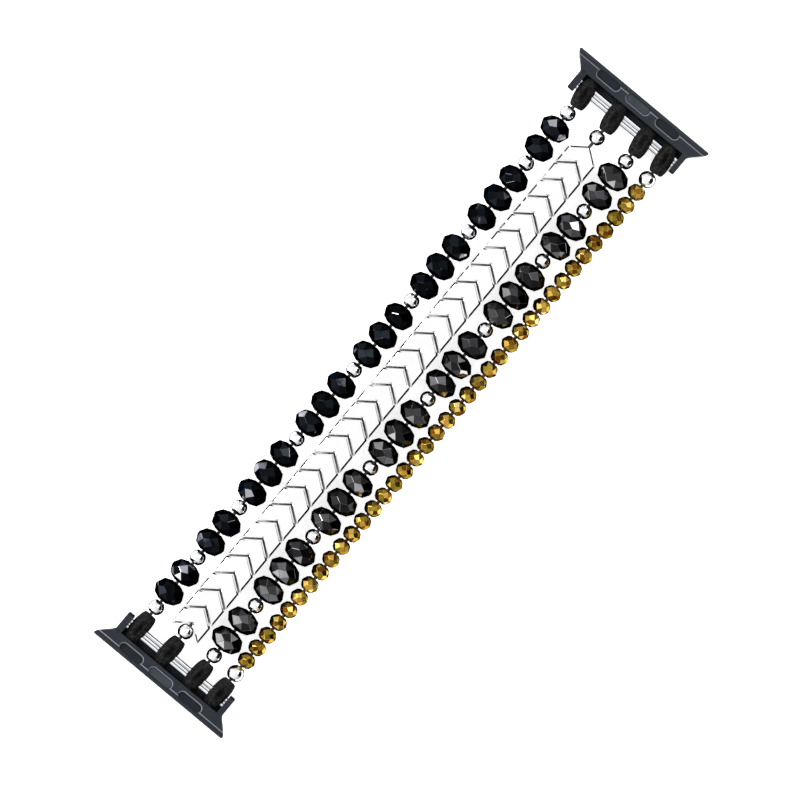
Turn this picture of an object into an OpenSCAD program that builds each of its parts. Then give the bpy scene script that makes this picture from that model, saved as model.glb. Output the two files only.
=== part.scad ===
// Beaded watch band: four elastic strands of beads side by side between two metal lugs.
// X runs along the band, Y across it, Z up. The band lies flat with its latch face up.
// The origin is under the middle of the band, on the surface that it lies on.

/* [Large beads] */
// Distance from one large faceted bead to the next
bead_pitch = 3.72; // [3.6:0.01:4.2]
// Gap between the flat ends of two large beads
bead_gap = 0.30; // [0.28:0.01:0.5]
// Diameter of the black agate beads over their facet corners
agate_d = 4.9; // [4.2:0.05:5.1]
// Diameter of the dark crystal beads over their facet corners
crystal_d = 5.25; // [4.6:0.05:5.4]
// Radius of the flat end face of a large bead
bead_flat_r = 0.78; // [0.7:0.01:0.85]
// Agate beads between one silver ball and the next, from lug A to lug B
agate_groups = [2, 2, 3, 3, 3, 3, 3, 2];
// Crystal beads between one silver ball and the next, from lug A to lug B
crystal_groups = [2, 3, 3, 3, 3, 3, 2, 2];

/* [Silver balls] */
// Diameter of the silver spacer balls and of three end balls
ball_d = 2.4; // [2.2:0.05:2.4]
// Length of strand that one silver ball takes
ball_slot = 2.29; // [2.25:0.01:2.6]
// Diameter of the end balls of the gold strand
gold_ball_d = 2.6; // [2.3:0.05:2.6]

/* [Silver chevrons] */
// Number of chevrons on their strand
chevron_count = 28; // [26:1:28]
// Width of a chevron across the band
chevron_w = 5.1; // [4.6:0.05:5.3]
// Depth of the V from wing tip to point
chevron_v = 1.92; // [1.7:0.02:2.0]
// Thickness of a chevron
chevron_t = 2.2; // [1.9:0.05:2.3]
// Gap between two chevrons along the band
chevron_gap = 0.34; // [0.33:0.01:0.45]
// Bevel along the upper and lower edges of a chevron
chevron_bevel = 0.25; // [0.22:0.01:0.3]
// Gap between the first chevron's notch and the end ball in it
notch_gap = 0.42; // [0.42:0.01:0.6]
// Gap between the last chevron's point and its end ball
point_gap = 0.2; // [0.15:0.01:0.4]

/* [Gold beads] */
// Number of small gold beads on their strand
gold_count = 38; // [36:1:38]
// Diameter of the gold beads over their facet corners
gold_d = 2.85; // [2.5:0.05:2.9]
// Gap between the flat ends of two gold beads
gold_gap = 0.26; // [0.24:0.01:0.3]
// Radius of the flat end face of a gold bead
gold_flat_r = 0.66; // [0.62:0.01:0.7]

/* [Strand spacing] */
// Distance of the chevron strand from the middle of the band
chevron_y = 1.95; // [1.6:0.05:2.1]
// Gap between the agate strand and the chevrons
agate_side_gap = 0.7; // [0.4:0.05:0.9]
// Gap between the chevrons and the crystal strand
crystal_side_gap = 0.42; // [0.3:0.01:0.6]
// Gap between the crystal strand and the gold strand
gold_side_gap = 0.15; // [0.12:0.01:0.3]

/* [Elastic cord] */
// Diameter of the elastic cord
cord_d = 0.5; // [0.4:0.01:0.5]
// Clearance between the cord and the holes that it runs in
cord_clearance = 0.02; // [0.02:0.01:0.04]
// Gap between the two cord runs of a strand
cord_run_gap = 0.06; // [0.04:0.01:0.08]
// Gap between the cord and the rod that it loops round
cord_rod_gap = 0.05; // [0.04:0.01:0.06]

/* [End beads] */
// Length of a black end bead
end_bead_l = 4.9; // [4.9:0.05:5.4]
// Diameter of a black end bead
end_bead_d = 2.8; // [2.65:0.05:2.85]
// Radius of the flat end faces of an end bead
end_bead_flat_r = 0.85; // [0.8:0.05:0.9]
// Gap between an end bead and the largest end ball
end_bead_gap = 0.08; // [0.08:0.01:0.2]
// Lean of the end beads on lug A in the plan view, in degrees
lean_a = 3; // [0:0.5:5]
// Lean of the end beads on lug B in the plan view, in degrees
lean_b = 8; // [0:0.5:8]

/* [Rods] */
// Diameter of the two steel rods in each lug
rod_d = 0.76; // [0.7:0.01:0.78]
// Distance between the two rods of a lug
rod_pitch = 1.02; // [0.98:0.01:1.1]
// Distance of the first rod from the lug end of the end beads
rod_inset = 1.25; // [1.22:0.01:1.3]
// Radial clearance of a rod in its seats and in the end beads
rod_clearance = 0.03; // [0.02:0.01:0.05]
// Depth of the blind seat for a rod end in each ear
rod_seat = 0.6; // [0.4:0.05:0.7]

/* [Lug] */
// Width of a lug, which fills the slot of the watch case
lug_w = 25; // [24:0.1:27]
// Height of a lug
lug_t = 4.3; // [4.25:0.05:4.6]
// Distance from the outer face of a lug to its end beads
bead_inset = 2.65; // [2.6:0.05:3]
// Gap between the end beads and the channel of the lug
channel_gap = 0.12; // [0.1:0.01:0.15]
// Reach of the face of the lug over the channel
channel_lip = 0.35; // [0.2:0.05:0.4]
// Depth of a lug between its ears
lug_depth = 3.5; // [3.3:0.05:3.7]
// Width of the rail strip along the outer face, into which the pockets reach
rail_w = 0.85; // [0.8:0.05:0.9]
// Step from the face of the lug down to the rail strip
rail_step = 0.65; // [0.4:0.05:0.8]
// Step from the underside of the lug up to the rail strip
rail_under = 0.7; // [0.4:0.05:0.8]
// Rounding of the rail nose
rail_nose = 0.35; // [0.2:0.05:0.4]
// Bevel along the long edges of the face and the underside
lug_bevel = 0.15; // [0.1:0.01:0.2]
// Thickness of an ear
ear_t = 0.9; // [0.9:0.05:1.2]
// Gap between an ear and the end bead next to it
ear_gap = 0.18; // [0.16:0.01:0.3]
// Reach of an ear past the second rod
ear_reach = 1.0; // [0.9:0.02:1.3]
// Height of an ear
ear_h = 3.1; // [2.8:0.05:3.2]
// Rounding of an ear tip
ear_round = 0.8; // [0.5:0.05:1.2]
// Straight side of a wing before it curves in to the ear
wing_side = 0.3; // [0.2:0.05:0.5]
// Distance over which a wing curves in to the ear
wing_curve = 2.45; // [2.2:0.05:2.6]

/* [Pockets and latch] */
// Length of a pocket in the face of a lug
pocket_l = 4.2; // [3.8:0.05:4.4]
// Width of a pocket
pocket_w = 1.35; // [1.25:0.01:1.36]
// Depth of the two outer pockets
pocket_depth = 1.0; // [0.8:0.05:1.1]
// Distance between one pocket and the next
pocket_pitch = 5.7; // [5.4:0.05:6]
// Shift of the middle pocket from the middle of the lug
pocket_shift = 0.4; // [0:0.05:0.6]
// Distance from the outer face of a lug to the middle line of its pockets
pocket_inset = 1.25; // [1.22:0.01:1.3]
// Depth below the face of a lug at which the lip ends that holds the latch button in its pocket
latch_lip = 1.35; // [1.3:0.05:1.45]
// Depth of the latch pocket
latch_depth = 3.3; // [3.2:0.05:3.4]
// Length by which the latch foot reaches under the lip at each end
latch_hook = 0.25; // [0.2:0.01:0.35]
// Running clearance round the latch button
latch_clearance = 0.08; // [0.06:0.01:0.1]
// Thickness of the latch foot
latch_foot = 0.45; // [0.4:0.05:0.6]
// Distance of the top of the latch button below the face of the lug
latch_sink = 0.4; // [0.3:0.05:0.5]
// Diameter of the latch spring
spring_d = 0.95; // [0.8:0.05:1]
// Wire of the latch spring
spring_wire = 0.18; // [0.15:0.01:0.2]
// Turns of the latch spring
spring_turns = 3; // [2.5:0.5:3]
// Gap between the spring or the latch foot and what it presses on
seat_gap = 0.03; // [0.02:0.01:0.05]
// Diameter of the dimple at the root of the ear beside the agate strand
dimple_d = 0.45; // [0.3:0.05:0.5]
// Depth of that dimple
dimple_depth = 0.3; // [0.2:0.05:0.5]

/* [Rows] */
// Pieces of the agate strand in front of each fold line, counted from lug A
row_breaks = [4, 6, 9, 12, 16, 18, 21, 24, 27];
// Distance of a fold line from the bead ends next to it, towards lug A
fold_shift = 0.36; // [0.2:0.01:0.4]

/* [Hidden] */
$fn = 48;
// Sides of every faceted bead
facets = 8;
// Shares of a bead's half length at which its girdle and shoulder corners lie
girdle_x = 0.14;
shoulder_x = 0.74;
// Share of a bead's radius at its shoulder corners, which makes its lozenge facets flat
shoulder_r = 1 - (1 - cos(180 / facets)) * (shoulder_x + girdle_x) / (2 * girdle_x);
// Exponent that makes the outline of an end bead fuller than an ellipse
end_bead_fullness = 2.4;
// Share of a soft S curve in the outline of a wing, which is straight for the rest
wing_ease = 0.5;
// Steps along the outline of an end bead
end_bead_steps = 14;
// Sides of the cord, and steps of its bend round half a rod
cord_sides = 8;
bend_steps = 6;
// Sides of the spring wire, and steps of one turn of the spring
wire_sides = 6;
turn_steps = 12;
// Steps of a curved edge of a lug
curve_steps = 8;
// Small bevel on the outer corners of a lug and the tips of its ears, in the plan view
corner_bevel = 0.15;
// Height of the lowest bead corner above the surface under the band
rest_gap = 0.03;
// Distance that a cut runs past the face that it opens
over = 1;

bore_d = 2 * cord_d + cord_run_gap + 2 * cord_clearance;
axis_z = crystal_d / 2 + rest_gap;
bead_l = bead_pitch - bead_gap;

// A strand of large beads as a list of lengths: a ball, a group of beads, a ball, and so on
function slots(groups) = [
    ball_slot,
    for (n = groups) each concat([for (i = [1:n]) bead_pitch], [ball_slot])
];
function balls(groups) = [
    true,
    for (n = groups) each concat([for (i = [1:n]) false], [true])
];
function length_before(list, count) = count == 0 ? 0 : list[count - 1] + length_before(list, count - 1);
agate_slots = slots(agate_groups);
strand_l = length_before(agate_slots, len(agate_slots));
function slot_x(list, i) = length_before(list, i) + list[i] / 2 - strand_l / 2;
function centres(groups, of_balls) = [
    for (i = [0:len(slots(groups)) - 1]) if (balls(groups)[i] == of_balls) slot_x(slots(groups), i)
];
function inner(list) = [for (i = [1:len(list) - 2]) list[i]];
agate_x = centres(agate_groups, false);
crystal_x = centres(crystal_groups, false);
agate_balls_x = inner(centres(agate_groups, true));
crystal_balls_x = inner(centres(crystal_groups, true));

// Both end balls of every strand sit on the two end fold lines
end_x = (strand_l - ball_slot) / 2;
chevron_x0 = -end_x + ball_d / 2 + notch_gap;
chevron_pitch = (end_x - ball_d / 2 - point_gap - chevron_x0) / chevron_count;
chevron_l = chevron_pitch - chevron_gap;
gold_room = 2 * (end_x - gold_ball_d / 2);
gold_pitch = gold_room / gold_count;
gold_l = gold_pitch - gold_gap;
gold_x = [for (i = [0:gold_count - 1]) -gold_room / 2 + gold_pitch * (i + 0.5)];
// A chevron is placed by its notch, and belongs to the row that holds its middle
chevron_x = [for (i = [0:chevron_count - 1]) chevron_x0 + chevron_pitch * i];
chevron_middle = (chevron_pitch - chevron_v) / 2;

agate_y = chevron_y + chevron_w / 2 + agate_side_gap + agate_d / 2;
crystal_y = chevron_y - chevron_w / 2 - crystal_side_gap - crystal_d / 2;
gold_y = crystal_y - crystal_d / 2 - gold_side_gap - gold_d / 2;
strands_y = [agate_y, chevron_y, crystal_y, gold_y];

fold_x = [for (n = row_breaks) length_before(agate_slots, n) - strand_l / 2 - fold_shift];
row_count = len(row_breaks) + 1;
function row_of(x) = 1 + len([for (f = fold_x) if (x > f) f]);
ball_rows = [for (k = [1:row_count]) if (len([for (x = concat(agate_balls_x, crystal_balls_x))
    if (row_of(x) == k) x]) > 0) k];

// What follows is laid out for lug B, at the +X end. Lug A is its mirror image
bead_near_x = end_x + max(ball_d, gold_ball_d) / 2 + end_bead_gap;
bead_far_x = bead_near_x + end_bead_l;
lug_x = bead_far_x + bead_inset;
rod_x = [bead_far_x - rod_inset, bead_far_x - rod_inset - rod_pitch];
// Inner faces of the two ears, on the sides of the agate strand and of the gold strand
ear_in = [for (y = [agate_y, -gold_y]) y + end_bead_d / 2 + ear_gap];
ear_out = max(ear_in) + ear_t;
ear_tip_x = rod_x[1] - ear_reach;
channel_r = norm([end_bead_d / 2, end_bead_flat_r]) + channel_gap;
channel_x = bead_far_x - end_bead_d / 2;
strip_z = lug_t - rail_step;
pocket_x = lug_x - pocket_inset;
foot_top_z = lug_t - latch_lip - seat_gap;
foot_z = foot_top_z - latch_foot;
latch_floor_z = lug_t - latch_depth;

run_z = (cord_d + cord_run_gap) / 2;
loop_r = rod_d / 2 + cord_rod_gap + cord_d / 2;
spread_x = rod_x[1] - loop_r;
join_x = bead_near_x + cord_d / 2;

// Corners of one ring of a faceted bead, turned by a share of one facet
function facet_ring(x, r, turn) = [
    for (i = [0:facets - 1]) let (a = 360 * (i + turn) / facets) [x, r * cos(a), r * sin(a)]
];
// Triangles between ring j and ring j + 1 of n corners each, for a next ring that is turned
// half a step ahead of this one or not
function facet_band(j, n, ahead) = [
    for (i = [0:n - 1]) let (a = j * n + i, b = j * n + (i + 1) % n, c = a + n, d = b + n)
        each ahead ? [[a, c, b], [b, c, d]] : [[a, d, b], [a, c, d]]
];
function fan(n, start) = [for (i = [0:n - 1]) start + i];
function backwards(list) = [for (i = [len(list) - 1:-1:0]) list[i]];

// A faceted bead along X with its cord hole, centred on the origin. Two rows of lozenge
// facets meet in a zigzag round its girdle, and a cone of flat facets closes each end
module faceted_bead(d, l, flat_r) {
    rings = concat(
        facet_ring(-l / 2, flat_r, 0),
        facet_ring(-l / 2 * shoulder_x, d / 2 * shoulder_r, 0),
        facet_ring(-l / 2 * girdle_x, d / 2, 0.5),
        facet_ring(l / 2 * girdle_x, d / 2, 0),
        facet_ring(l / 2 * shoulder_x, d / 2 * shoulder_r, 0.5),
        facet_ring(l / 2, flat_r, 0.5)
    );
    faces = concat(
        [fan(facets, 0)],
        facet_band(0, facets, false),
        facet_band(1, facets, true),
        facet_band(2, facets, false),
        facet_band(3, facets, true),
        facet_band(4, facets, false),
        [backwards(fan(facets, 5 * facets))]
    );
    difference() {
        polyhedron(rings, faces);
        cord_hole(l);
    }
}

module cord_hole(l) {
    rotate([0, 90, 0]) cylinder(d = bore_d, h = l + 2 * over, center = true);
}

module silver_ball(d) {
    rotate([0, 90, 0]) rotate_extrude() difference() {
        circle(d = d);
        translate([bore_d / 2 - d, -d]) square([d, 2 * d]);
    }
}

// One wing of a chevron, on the side of +Y: a slanted bar with bevelled edges
module chevron_wing() {
    slant = atan(chevron_v / (chevron_w / 2));
    bar_w = chevron_l * cos(slant);
    high = chevron_t / 2;
    shoulder = high - chevron_bevel;
    intersection() {
        rotate([0, 0, slant]) rotate([90, 0, 0]) linear_extrude(2 * chevron_w, center = true)
            polygon([
                [chevron_bevel, -high], [bar_w - chevron_bevel, -high], [bar_w, -shoulder],
                [bar_w, shoulder], [bar_w - chevron_bevel, high], [chevron_bevel, high],
                [0, shoulder], [0, -shoulder]
            ]);
        rotate([90, 0, 90]) linear_extrude(4 * chevron_pitch, center = true)
            polygon([
                [0, -high], [chevron_w / 2 - chevron_bevel, -high], [chevron_w / 2, -shoulder],
                [chevron_w / 2, shoulder], [chevron_w / 2 - chevron_bevel, high], [0, high]
            ]);
    }
}

// A chevron with its notch at the origin, its point towards +X, and its cord hole
module chevron() {
    difference() {
        union() {
            chevron_wing();
            mirror([0, 1, 0]) chevron_wing();
        }
        cord_hole(2 * chevron_pitch);
    }
}

module at_row(row, xs, y, middle = 0) {
    for (x = xs) if (row_of(x + middle) == row) translate([x, y, axis_z]) children();
}

module agate_beads(row) {
    color("#2b2f38") at_row(row, agate_x, agate_y) faceted_bead(agate_d, bead_l, bead_flat_r);
}

module silver_chevrons(row) {
    color("#e4e6ea") at_row(row, chevron_x, chevron_y, chevron_middle) chevron();
}

module crystal_beads(row) {
    color("#55565a") at_row(row, crystal_x, crystal_y) faceted_bead(crystal_d, bead_l, bead_flat_r);
}

module gold_beads(row) {
    color("#c8962e") at_row(row, gold_x, gold_y) faceted_bead(gold_d, gold_l, gold_flat_r);
}

module spacer_balls(row) {
    color("#d9dbdf") {
        at_row(row, agate_balls_x, agate_y) silver_ball(ball_d);
        at_row(row, crystal_balls_x, crystal_y) silver_ball(ball_d);
    }
}

// Puts what is laid out for lug B at either end of the band
module at_end(side) {
    mirror([side == "a" ? 1 : 0, 0, 0]) children();
}

module end_balls(side) {
    color("#d9dbdf") at_end(side) for (y = strands_y)
        translate([end_x, y, axis_z]) silver_ball(y == gold_y ? gold_ball_d : ball_d);
}

// Outline of an end bead over its length, as points of distance along it and radius
function end_bead_outline() = [
    for (i = [0:end_bead_steps]) let (t = -cos(180 * i / end_bead_steps))
        [end_bead_flat_r + (end_bead_d / 2 - end_bead_flat_r) * sqrt(max(0, 1 - pow(abs(t), end_bead_fullness))),
            end_bead_l / 2 * t]
];

// Room for the cord inside an end bead: wide round the rods, narrow where it leaves the bead
module cord_channel() {
    wide = loop_r + cord_d / 2 + 2 * cord_clearance;
    rotate([90, 0, 0]) linear_extrude(cord_d + 4 * cord_clearance, center = true) {
        translate([rod_x[0], 0]) circle(wide);
        polygon([
            [rod_x[0], wide], [spread_x, wide], [bead_near_x, bore_d / 2],
            [bead_near_x - over, bore_d / 2], [bead_near_x - over, -bore_d / 2],
            [bead_near_x, -bore_d / 2], [spread_x, -wide], [rod_x[0], -wide]
        ]);
    }
}

module end_bead(lean) {
    difference() {
        translate([(bead_near_x + bead_far_x) / 2, 0, 0]) rotate([0, 0, lean])
            rotate([0, 90, 0]) rotate_extrude()
                polygon(concat([[0, -end_bead_l / 2]], end_bead_outline(), [[0, end_bead_l / 2]]));
        cord_channel();
        for (x = rod_x) translate([x, 0, 0]) rotate([90, 0, 0])
            cylinder(r = rod_d / 2 + rod_clearance, h = end_bead_d + 2 * over, center = true);
    }
}

module end_beads(side) {
    color("#232325") at_end(side) for (y = strands_y)
        translate([0, y, axis_z]) end_bead(side == "a" ? lean_a : lean_b);
}

// A round bar across the band from ear to ear, longer by a reach at both ends
module across(x, r, reach) {
    translate([x, ear_in[0] + reach, axis_z]) rotate([90, 0, 0])
        cylinder(r = r, h = ear_in[0] + ear_in[1] + 2 * reach);
}

module rods(side) {
    color("#c9ccd1") at_end(side) for (x = rod_x) across(x, rod_d / 2, rod_seat - rod_clearance);
}

// Points of a rounded corner from angle a to angle b
function corner(x, z, r, a, b) = [
    for (i = [0:curve_steps]) let (t = a + (b - a) * i / curve_steps) [x + r * cos(t), z + r * sin(t)]
];

// Section of a lug across its length: rail strip outside, block with bevelled edges inside
module lug_section() {
    step_x = lug_x - rail_w;
    near_x = lug_x - lug_depth;
    polygon(concat(
        [[near_x, lug_bevel], [near_x + lug_bevel, 0], [step_x - lug_bevel, 0], [step_x, lug_bevel]],
        [[step_x, rail_under]],
        corner(lug_x - rail_nose, rail_under + rail_nose, rail_nose, -90, 0),
        corner(lug_x - rail_nose, strip_z - rail_nose, rail_nose, 0, 90),
        [[step_x, strip_z], [step_x, lug_t - lug_bevel], [step_x - lug_bevel, lug_t], [near_x, lug_t]]
    ));
}

// Side view of an ear, round at its tip
module ear_section() {
    low = axis_z - ear_h / 2;
    high = axis_z + ear_h / 2;
    round_x = ear_tip_x + ear_round;
    polygon(concat(
        [[lug_x - rail_w - lug_bevel, low], [lug_x - rail_w - lug_bevel, high]],
        corner(round_x, high - ear_round, ear_round, 90, 180),
        corner(round_x, low + ear_round, ear_round, 180, 270)
    ));
}

// Share of its reach that a wing still has at a share t of its way in to the ear
function wing_share(t) = wing_ease * (1 + cos(180 * t)) / 2 + (1 - wing_ease) * (1 - t);

// Half of the plan of a lug, on the side y: wing, curve into the ear, ear
function half_plan(y) = let (inner_y = y * ear_in[y > 0 ? 0 : 1]) concat(
    [[lug_x, y * (lug_w / 2 - corner_bevel)], [lug_x - corner_bevel, y * lug_w / 2]],
    [for (i = [0:curve_steps]) let (t = i / curve_steps)
        [lug_x - wing_side - wing_curve * t, y * (ear_out + (lug_w / 2 - ear_out) * wing_share(t))]
    ],
    [[ear_tip_x + corner_bevel, y * ear_out], [ear_tip_x, y * (ear_out - corner_bevel)]],
    [[ear_tip_x, inner_y], [lug_x - lug_depth, inner_y]]
);

module stadium(l, w) {
    square([w, l - w], center = true);
    for (y = [-1, 1]) translate([0, y * (l - w) / 2]) circle(d = w);
}

// Open channel along the strap side of the lug, in which the end beads lie
module lug_channel() {
    across(channel_x, channel_r, 0);
    translate([channel_x + channel_r - channel_lip - lug_depth, -ear_in[1], axis_z])
        cube([lug_depth, ear_in[0] + ear_in[1], lug_t]);
}

module lug_frame(side) {
    color("#2f363f") at_end(side) difference() {
        intersection() {
            linear_extrude(lug_t) polygon(concat(half_plan(1), backwards(half_plan(-1))));
            rotate([90, 0, 0]) linear_extrude(lug_w, center = true) union() {
                lug_section();
                ear_section();
            }
        }
        lug_channel();
        for (x = rod_x) across(x, rod_d / 2 + rod_clearance, rod_seat);
        for (i = [-1, 1]) translate([pocket_x, pocket_shift + i * pocket_pitch, lug_t - pocket_depth])
            linear_extrude(pocket_depth + over) stadium(pocket_l, pocket_w);
        translate([pocket_x, pocket_shift, lug_t - latch_lip - over / 2])
            linear_extrude(latch_lip + over) stadium(pocket_l, pocket_w);
        translate([pocket_x, pocket_shift, latch_floor_z]) linear_extrude(latch_depth - latch_lip)
            stadium(pocket_l + 2 * (latch_hook + latch_clearance), pocket_w);
        translate([lug_x - bead_inset, (ear_in[0] + ear_out) / 2, lug_t - dimple_depth])
            cylinder(d = dimple_d, h = dimple_depth + over);
    }
}

module latch_button(side) {
    pad_w = pocket_w - 2 * latch_clearance;
    color("#4a525c") at_end(side) translate([pocket_x, pocket_shift, foot_z]) {
        linear_extrude(latch_foot) stadium(pocket_l + 2 * latch_hook, pad_w);
        linear_extrude(lug_t - latch_sink - foot_z) stadium(pocket_l - 2 * latch_clearance, pad_w);
    }
}

module latch_spring(side) {
    low = latch_floor_z + seat_gap + spring_wire / 2;
    high = foot_z - seat_gap - spring_wire / 2;
    r = (spring_d - spring_wire) / 2;
    steps = spring_turns * turn_steps;
    rings = [for (i = [0:steps]) let (a = 360 * i / turn_steps)
        for (j = [0:wire_sides - 1]) let (b = 360 * j / wire_sides, reach = r + spring_wire / 2 * cos(b))
            [reach * cos(a), reach * sin(a), low + (high - low) * i / steps + spring_wire / 2 * sin(b)]
    ];
    faces = concat(
        [backwards(fan(wire_sides, 0))],
        [for (i = [0:steps - 1]) each side_ring(i, wire_sides, steps + 1)],
        [fan(wire_sides, steps * wire_sides)]
    );
    color("#b9bcc2") at_end(side) translate([pocket_x, pocket_shift, 0]) polyhedron(rings, faces);
}

// Triangles between ring j and the next one, in a tube of rings with n corners each
function side_ring(j, n, rings) = [
    for (i = [0:n - 1]) let (
        a = j * n + i, b = j * n + (i + 1) % n,
        c = (a + n) % (rings * n), d = (b + n) % (rings * n)
    ) each [[a, b, d], [a, d, c]]
];

// Route of one cord loop in its own plane, as points of x, height and direction of travel
right_end = concat(
    [[join_x, -run_z, atan2(run_z - loop_r, spread_x - join_x) / 2]],
    [[spread_x, -loop_r, atan2(run_z - loop_r, spread_x - join_x) / 2]],
    [for (i = [0:bend_steps]) let (a = -90 + 180 * i / bend_steps)
        [rod_x[0] + loop_r * cos(a), loop_r * sin(a), a + 90]],
    [[spread_x, loop_r, 180 - atan2(run_z - loop_r, spread_x - join_x) / 2]],
    [[join_x, run_z, 180 - atan2(run_z - loop_r, spread_x - join_x) / 2]]
);
cord_route = concat(right_end, [for (p = right_end) [-p[0], -p[1], p[2] + 180]]);

module cord_loop() {
    points = [for (p = cord_route) for (i = [0:cord_sides - 1])
        let (a = 360 * (i + 0.5) / cord_sides, out = cord_d / 2 * cos(a))
            [p[0] + out * sin(p[2]), cord_d / 2 * sin(a), p[1] - out * cos(p[2])]
    ];
    rings = len(cord_route);
    polyhedron(points, [for (j = [0:rings - 1]) each side_ring(j, cord_sides, rings)]);
}

module elastic_cords() {
    color("#1c1c1e") for (y = strands_y) translate([0, y, axis_z]) cord_loop();
}

for (k = [1:row_count]) {
    agate_beads(k);
    silver_chevrons(k);
    crystal_beads(k);
    gold_beads(k);
    spacer_balls(k);
}
for (side = ["a", "b"]) {
    end_balls(side);
    end_beads(side);
    rods(side);
    lug_frame(side);
    latch_button(side);
    latch_spring(side);
}
elastic_cords();
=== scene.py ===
"""Beaded watch band: its bead strands, cords, rods and lugs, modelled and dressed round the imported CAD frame."""

from __future__ import annotations

import logging
import math
import random
from dataclasses import dataclass, field
from enum import Enum
from typing import Callable, Iterable, Sequence

import bmesh
import bpy
from mathutils import Matrix, Vector

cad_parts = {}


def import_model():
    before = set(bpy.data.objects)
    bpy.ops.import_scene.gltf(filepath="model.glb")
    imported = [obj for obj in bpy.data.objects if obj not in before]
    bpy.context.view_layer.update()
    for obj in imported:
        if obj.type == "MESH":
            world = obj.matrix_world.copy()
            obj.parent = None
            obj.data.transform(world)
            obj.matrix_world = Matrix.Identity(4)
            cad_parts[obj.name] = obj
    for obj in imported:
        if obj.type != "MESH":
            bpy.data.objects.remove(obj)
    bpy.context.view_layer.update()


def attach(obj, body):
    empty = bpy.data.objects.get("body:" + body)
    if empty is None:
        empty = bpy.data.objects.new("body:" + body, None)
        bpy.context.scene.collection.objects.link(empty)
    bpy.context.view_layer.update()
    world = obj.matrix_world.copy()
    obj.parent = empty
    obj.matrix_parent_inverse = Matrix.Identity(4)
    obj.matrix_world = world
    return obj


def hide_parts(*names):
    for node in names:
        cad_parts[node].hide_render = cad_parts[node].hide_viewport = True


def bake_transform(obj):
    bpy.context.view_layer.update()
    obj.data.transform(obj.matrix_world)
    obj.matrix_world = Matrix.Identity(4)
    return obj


LOG = logging.getLogger("band")
MM = 0.001
SEED = 41
TURN = 2 * math.pi

Point = tuple[float, float, float]


class End(Enum):
    """The two ends of the band: lug A lies at -X and lug B at +X."""

    A = "a"
    B = "b"

    @property
    def sign(self) -> int:
        """Direction of this end along the band."""
        return 1 if self is End.B else -1


class Strand(Enum):
    """The four strands, by their distance from the middle of the band in millimetres."""

    AGATE = 7.65
    CHEVRON = 1.95
    CRYSTAL = -3.645
    GOLD = -7.845


# ---------------------------------------------------------------- modelling


def deselect_all() -> None:
    """Leaves edit mode and deselects every object."""
    if bpy.context.object is not None and bpy.context.object.mode != "OBJECT":
        bpy.ops.object.mode_set(mode="OBJECT")
    bpy.ops.object.select_all(action="DESELECT")


def make_active(piece: bpy.types.Object) -> None:
    """Selects one object alone and makes it active.

    Args:
        piece: the object to select.
    """
    deselect_all()
    piece.select_set(True)
    bpy.context.view_layer.objects.active = piece


def pick(piece: bpy.types.Object, kind: str, wanted: Callable[[bmesh.types.BMVert], bool]) -> int:
    """Selects elements of the mesh in edit mode by their place or normal.

    Args:
        piece: the object in edit mode.
        kind: "verts", "edges" or "faces".
        wanted: says of one element whether it is selected.

    Returns:
        How many elements are selected.
    """
    bpy.ops.mesh.select_mode(type={"verts": "VERT", "edges": "EDGE", "faces": "FACE"}[kind])
    bpy.ops.mesh.select_all(action="DESELECT")
    mesh = bmesh.from_edit_mesh(piece.data)
    found = [element for element in getattr(mesh, kind) if wanted(element)]
    for element in found:
        element.select_set(True)
    mesh.select_flush_mode()
    bmesh.update_edit_mesh(piece.data)
    return len(found)


def apply_modifier(piece: bpy.types.Object, kind: str, **settings: object) -> None:
    """Adds one modifier, sets it and applies it.

    Args:
        piece: the object that it works on.
        kind: Blender's name of the modifier type.
        settings: the modifier's own settings.
    """
    make_active(piece)
    modifier = piece.modifiers.new(kind.title(), kind)
    for name, value in settings.items():
        setattr(modifier, name, value)
    bpy.ops.object.modifier_apply(modifier=modifier.name)


def round_edges(piece: bpy.types.Object, width: float, segments: int = 2, angle: float = 12) -> None:
    """Bevels every edge that is sharper than an angle.

    Args:
        piece: the object to bevel.
        width: width of the bevel in millimetres.
        segments: facets across one bevel.
        angle: the least angle between two faces, in degrees.
    """
    apply_modifier(
        piece, "BEVEL", width=width * MM, segments=segments, limit_method="ANGLE",
        angle_limit=math.radians(angle), use_clamp_overlap=True, miter_outer="MITER_SHARP",
    )


def recalculate(piece: bpy.types.Object) -> None:
    """Merges doubled corners and turns every face outwards.

    Args:
        piece: the closed object to mend.
    """
    make_active(piece)
    bpy.ops.object.mode_set(mode="EDIT")
    bpy.ops.mesh.select_all(action="SELECT")
    bpy.ops.mesh.remove_doubles(threshold=1e-7)
    bpy.ops.mesh.normals_make_consistent(inside=False)
    bpy.ops.object.mode_set(mode="OBJECT")


@dataclass(frozen=True)
class Station:
    """One ring of a turned or faceted form along X, in millimetres and degrees."""

    x: float
    radius: float
    turn: float = 0.0


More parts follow.
